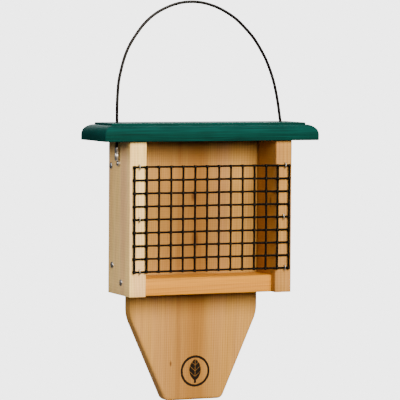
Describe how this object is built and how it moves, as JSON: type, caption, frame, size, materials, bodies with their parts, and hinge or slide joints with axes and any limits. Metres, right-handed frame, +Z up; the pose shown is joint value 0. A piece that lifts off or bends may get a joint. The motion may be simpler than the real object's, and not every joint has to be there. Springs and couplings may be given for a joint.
{
  "type": "hanging bird feeder",
  "caption": "Tail-prop suet feeder: open cedar box behind welded wire mesh, long tapered tail board, and a green roof board that slides up the cable it hangs from.",
  "frame": {"origin": "the top of the hanging cable's arch, on its centreline, where a hook carries the feeder", "axes": "+Z up, +Y from the open mesh front to the back board, +X to the right seen from the front; the middle of the box is at X +11 mm because the cable leans a little to the left"},
  "size_m": [0.228, 0.067, 0.397],
  "materials": {
    "cedar": "planed cedar, unfinished, sapwood and heartwood mixed",
    "roof_green": "deep green opaque stain, satin, on a moulded board",
    "mesh_coating": "black vinyl coating on welded steel mesh, satin",
    "cable_coating": "black vinyl coating on steel cable, satin",
    "zinc_steel": "bright zinc plate",
    "swaged_aluminium": "plain swaged aluminium"
  },
  "bodies": {
    "box": {"back_board": "cedar", "side_left": "cedar", "side_right": "cedar", "floor_board": "cedar", "mesh_upright_wires": "mesh_coating", "mesh_cross_wires": "mesh_coating", "staple_left_top": "zinc_steel", "staple_left_middle": "zinc_steel", "staple_left_bottom": "zinc_steel", "staple_right_top": "zinc_steel", "staple_right_middle": "zinc_steel", "staple_right_bottom": "zinc_steel", "screw_left_upper": "zinc_steel", "screw_left_lower": "zinc_steel", "screw_left_floor": "zinc_steel", "screw_right_upper": "zinc_steel", "screw_right_lower": "zinc_steel", "screw_right_floor": "zinc_steel", "floor_back_screws": "zinc_steel", "hanging_cable": "cable_coating", "cable_end_left": "swaged_aluminium", "cable_end_right": "swaged_aluminium", "cable_screw_left": "zinc_steel", "cable_screw_right": "zinc_steel"},
    "roof": {"roof": "roof_green"}
  },
  "joints": [
    {"name": "roof_lift", "type": "slide", "parent": "box", "child": "roof", "axis": [0, 0, 1], "range_m": [0, 0.05], "deforming": ["hanging_cable"]}
  ]
}
